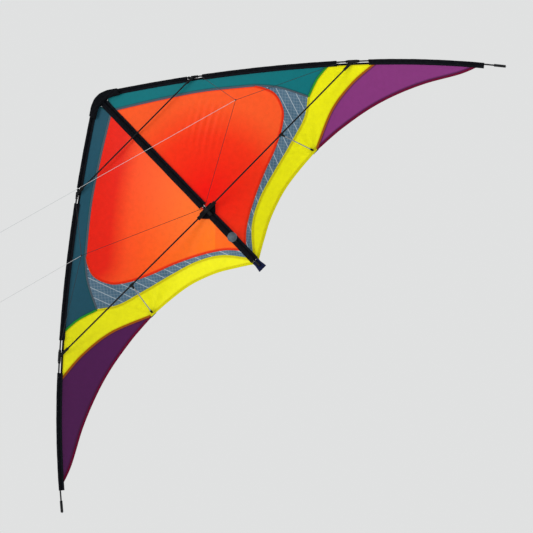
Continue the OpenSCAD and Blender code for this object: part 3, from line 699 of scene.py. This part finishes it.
for side, sign in SIDES.items():
    seam_curve = join(SEAM_MAIN, EDGE_SCRIM, SEAM_BAND[::-1])
    front_edge = edge_point(np.linspace(32.0 * K, BAND_S[0], len(seam_curve)), CLOTH_INSET)
    main_rim = join(SEAM_MAIN, EDGE_MAIN)
    spine_row = line_between([X0 * K - 0.5, main_rim[0, 1]], [X0 * K - 0.5, main_rim[-1, 1]], len(main_rim))
    scrim_rim = join(EDGE_SCRIM, EDGE_BAND)
    scrim_inner = even(EDGE_MAIN, len(scrim_rim))
    band_rim = join(SEAM_BAND, EDGE_BAND)
    band_inner = join(SEAM_TIP, TAIL_EDGE)
    tip_rim = join(SEAM_TIP[::-1], edge_point(np.linspace(BAND_S[1], TIP_S, 60), CLOTH_INSET))
    made = {
        "cloth_inner_edge": ("sail_inner_edge", seam_curve, front_edge, 36, TEAL, "sail_teal"),
        "cloth_main": ("sail_main", spine_row, main_rim, 110, ORANGE, "sail_orange"),
        "cloth_scrim": ("sail_scrim", scrim_inner, scrim_rim, 24, FILM, "sail_scrim"),
        "cloth_band": ("sail_band", even(band_inner, len(band_rim)), band_rim, 30, YELLOW, "sail_yellow"),
        "cloth_tip": ("sail_tip", even(LEECH, 200), even(tip_rim, 200), 50, PURPLE, "sail_purple"),
    }
    soft = []
    strips = {}
    for name, (curve, half, material, slot) in SEAMS.items():
        strips[name] = sail_strip(name, side, curve, half, 0.3, material)
    hem = sail_strip("hem_tail", side, TAIL_EDGE, 4.5, -0.2, HEM_YELLOW, 0.9)
    leech = sail_strip("hem_leech", side, LEECH, 6.0, -0.2, HEM_MAROON, 0.9)
    binding = sail_strip("edge_binding", side, edge_point(np.linspace(40 * K, TIP_S, 400), INSET), 4.0, -0.2, DACRON)
    for name, (node, inner, outer, across, material, slot) in made.items():
        piece, (width, length, area) = panel(name, node, side, inner, outer, across, material)
        soft.append(piece)
    for piece in soft + list(strips.values()) + [hem, leech, binding]:
        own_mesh(piece)


# ---------------------------------------------------------------- sleeves, tapes and patches


def sleeve_profile(inboard, tube):
    """The pocket of a leading edge sleeve, as [outboard, front]: a smooth closed curve that hugs the tube and
    runs inboard as a flat double flap behind it."""
    flap = [[-inboard, -4.95], [-inboard - 0.7, -4.1], [-inboard, -3.3]]
    neck = [[-9.5, -3.0], [-5.6, -1.6]]
    a = np.radians([160, 125, 90, 55, 20, -15, -50, -85])
    hug = (tube * np.stack([np.cos(a), np.sin(a)], -1)).tolist()
    return smooth(flap + neck + hug + [[-4, -5.0], [-9, -5.05], [-inboard, -4.95]], 3)[:-1]


def puckers(u, seed):
    """Slight fullness of sewn cloth along u, in millimetres: three sines of unlike wavelength."""
    return 0.16 * np.sin(u / 17.0 + seed) + 0.12 * np.sin(u / 7.3 + 2 * seed) + 0.08 * np.sin(u / 3.9 + 3 * seed)


# The sleeve leaves the tube bare round the upper and the lower connector, so it is in three lengths.
LOWER_BARE = 62 * K
SLEEVES = (("inner", SLEEVE_S[0], UPPER_S - 26), ("mid", UPPER_S + 34, LOWER_S - LOWER_BARE),
           ("outer", LOWER_S + LOWER_BARE, SLEEVE_S[1]))

for side, sign in SIDES.items():
    for number, (name, s1, s2) in enumerate(SLEEVES):
        s = np.linspace(s1, s2, int((s2 - s1) / 5))
        p = edge_point(s)
        h = edge_heading(s)
        path = np.stack([p[:, 0] * sign, 0 * s, p[:, 1]], -1) * MM
        outboard = np.stack([np.sin(h) * sign, 0 * s, np.cos(h)], -1)
        profile = sleeve_profile(15.0, TUBE_R + 2.65)
        swell = 1 + puckers(s, number + 1.0)[:, None] * np.clip((profile[:, 0] + 12) / 30, 0, 1)[None, :] * 0.25
        shape = profile[None] * [1, sign] * MM * swell[..., None]
        piece = sweep(f"sleeve_{name}_{side}", path, outboard, shape, SLEEVING, f"wing_{side}")
        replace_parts(piece, f"le_sleeve_{name}_{side}")


def spine_profile(bulge):
    """The spine tape, as [x, back]: a flat double tape whose tunnel for the rod is raised to the front."""
    x = np.linspace(-16, 16, 65)
    front = 3.5 - bulge * np.exp(-np.abs(x / 5.6) ** 3.2)
    lower = np.stack([np.linspace(16, -16, 33), np.full(33, 4.45)], -1)
    return np.concatenate([np.stack([x, front], -1), [[16.4, 4.0]], lower, [[-16.4, 4.0]]])


for number, (z1, z2) in enumerate(((TAPE_END, -27.0), (27.0, TAPE_TOP))):
    z = np.linspace(z1, z2, int((z2 - z1) / 4))
    profile = spine_profile(7.9)
    fullness = puckers(z, number + 4.0)[:, None] * np.exp(-np.abs(profile[:, 0] / 7.0) ** 3)[None, :]
    shape = np.broadcast_to(profile, (len(z),) + profile.shape).copy()
    shape[..., 1] -= np.where(profile[None, :, 1] < 3.4, np.abs(fullness), 0)
    rims = np.sign(profile[:, 0]) * (np.abs(profile[:, 0]) > 12)
    shape[..., 0] += 0.25 * np.sin(z / 23.0)[:, None] * rims[None, :]
    path = np.stack([0 * z, 0 * z, z], -1) * MM
    piece = sweep(f"spine_tape_{number}", path, np.array([1.0, 0, 0]), shape * MM, SPINE_TAPE, "spine")
    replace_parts(piece, "spine_sleeve")


def patch(name, border, hole, back, thick, material, body):
    """A flat sewn patch, as a ring of cloth from a hole to a border of plan points, given its thickness."""
    r = np.linspace(0, 1, 14)[:, None, None]
    plan = hole[None] + (border - hole)[None] * r
    points = np.stack([plan[..., 0], np.full(plan.shape[:2], back), plan[..., 1]], -1) * MM
    uv = np.concatenate([plan, plan[:, :1]], 1) * MM
    piece = build(name, points, material, body, around=True, uv=uv, face=(0, -1, 0))
    thicken(piece, "cloth", thick)
    return piece


turn = 2 * np.pi * np.arange(64) / 64
c, s = np.cos(turn), np.sin(turn)
diamond = 41.0 * np.stack([np.sign(c) * np.abs(c) ** 1.8, np.sign(s) * np.abs(s) ** 1.8], -1)
diamond[:, 1] = np.minimum(diamond[:, 1], 15.3)
piece = patch("centre_patch_cloth", diamond, [4.4, 11.0] * np.stack([c, s], -1), 4.55, 0.5, DACRON, "spine")
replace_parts(piece, "centre_patch")

# Tail tab: a strap that carries the spine tape on over the sails' corners and flares to a square end.
z = np.linspace(0, 1, 60)
half = np.interp(z, [0, 0.36, 0.95, 1.0], [15, 14, 18, 17])
path = np.stack([0 * z, 4.7 + 0 * z, (-266 - 44 * z) * K], -1) * MM
shape = strap(1.0, 0.4 * MM, 28)[None] * np.stack([half * MM, np.ones_like(half)], -1)[:, None]
piece = sweep("tail_strap", path, np.array([1.0, 0, 0]), shape, NAVY, "spine")
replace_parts(piece, "tail_tab")

# Nose cover: webbing folded round the ends of the leading edge, in two halves that meet at the spine.
for side, sign in SIDES.items():
    a = np.linspace(0, 1, 48)
    rim_curve = smooth([[0.4, -6], [14, -7], [26, -11], [44, -19], [60, -30], [74, -40]], 12) * K + [0, NOSE_Z]
    inner_curve = smooth([[0.4, -45], [14, -42], [40, -53], [66, -70]], 12) * K + [0, NOSE_Z]
    outer_row, inner_row = even(rim_curve, 48), even(inner_curve, 48)
    t = np.linspace(-1, 1, 25)
    reach = (1 - np.abs(t) ** 3.4) ** (1 / 2.6)
    depth = np.sign(t) * np.minimum(1, np.abs(t) * 1.6) ** 0.7
    plan = inner_row[:, None] + (outer_row - inner_row)[:, None] * reach[None, :, None]
    y = 0.95 + 8.1 * depth[None, :] * (1 + 0 * a[:, None]) + 0.15 * np.sin(plan[..., 0] / 2.1)
    points = np.stack([plan[..., 0] * sign, y, plan[..., 1]], -1) * MM
    uv = np.stack([plan[..., 0], plan[..., 1] - NOSE_Z + 40], -1) * MM
    piece = build(f"nose_webbing_{side}", points, WEBBING, f"wing_{side}", uv=uv)
    thicken(piece, "webbing", 1.4)
    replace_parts(piece, f"nose_cover_{side}")

# Standoff pocket: a stiffened patch behind the trailing edge and a vinyl cap for the rod's end.
# The lower spreaders' depth at the spine, and how far out the standoffs' clips sit on them.
CENTRE_Y, CLIP_X = -10.5, 400 * K
low_p = edge_point(LOWER_S)
for side, sign in SIDES.items():
    flip = np.array([sign, 1, 1])
    slope = np.radians(-66)
    down = np.array([0, np.cos(slope), np.sin(slope)])
    middle = POCKET + [2, 0.6, 6.4]
    path = (middle + down * np.linspace(-13, 13, 24)[:, None]) * flip * MM
    width = 16 * (1 - np.abs(np.linspace(-1, 1, 24)) ** 9 * 0.22)
    shape = strap(1.0, 0.75 * MM, 28)[None] * np.stack([width * MM, np.ones_like(width)], -1)[:, None]
    piece = sweep(f"pocket_patch_{side}", path, np.array([1.0, 0, 0]), shape, NAVY, f"wing_{side}")
    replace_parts(piece, f"standoff_pocket_{side}")
    clip = np.array([CLIP_X, CENTRE_Y - CENTRE_Y * CLIP_X / low_p[0], low_p[1] * CLIP_X / low_p[0]])
    rod = unit(POCKET - clip)
    length = np.linalg.norm(POCKET - clip) - 12
    d = length - 11 + np.concatenate([np.linspace(0, 13, 14), 13 + 3.6 * np.sin(np.linspace(0.15, 1.5, 8))])
    radius = np.concatenate([[3.95], np.full(13, 3.8), 3.8 * np.cos(np.linspace(0.15, 1.5, 8))])
    path = (clip + rod * d[:, None]) * flip * MM
    shape = ring(1.0, 24)[None] * radius[:, None, None] * MM
    cap = sweep(f"pocket_cap_{side}", path, np.array([1.0, 0, 0]), shape, VINYL, f"wing_{side}")
    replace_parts(cap, f"standoff_pocket_{side}")
    for soft_piece in (piece, cap):
        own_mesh(soft_piece)


# ---------------------------------------------------------------- finishes of the CAD pieces

FINISH = {
    "spine_rod": CARBON, "le_rod": CARBON, "upper_spreader": CARBON, "lower_spreader": CARBON, "standoff": GLASS,
    "le_ferrule": FERRULE, "centre_t": MOULDED, "upper_connector": MOULDED, "lower_connector": MOULDED,
    "standoff_clip": MOULDED, "wingtip_nock": MOULDED, "spine_caps": VINYL, "spine_stops": VINYL, "le_stops": VINYL,
    "bridle_collar": BRIDLE, "spine_disc": PLATE,
}
for name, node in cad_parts.items():
    found = [key for key in FINISH if name.startswith(key)]
    if found and not node.hide_render:
        node.data.materials.clear()
        node.data.materials.append(FINISH[max(found, key=len)])
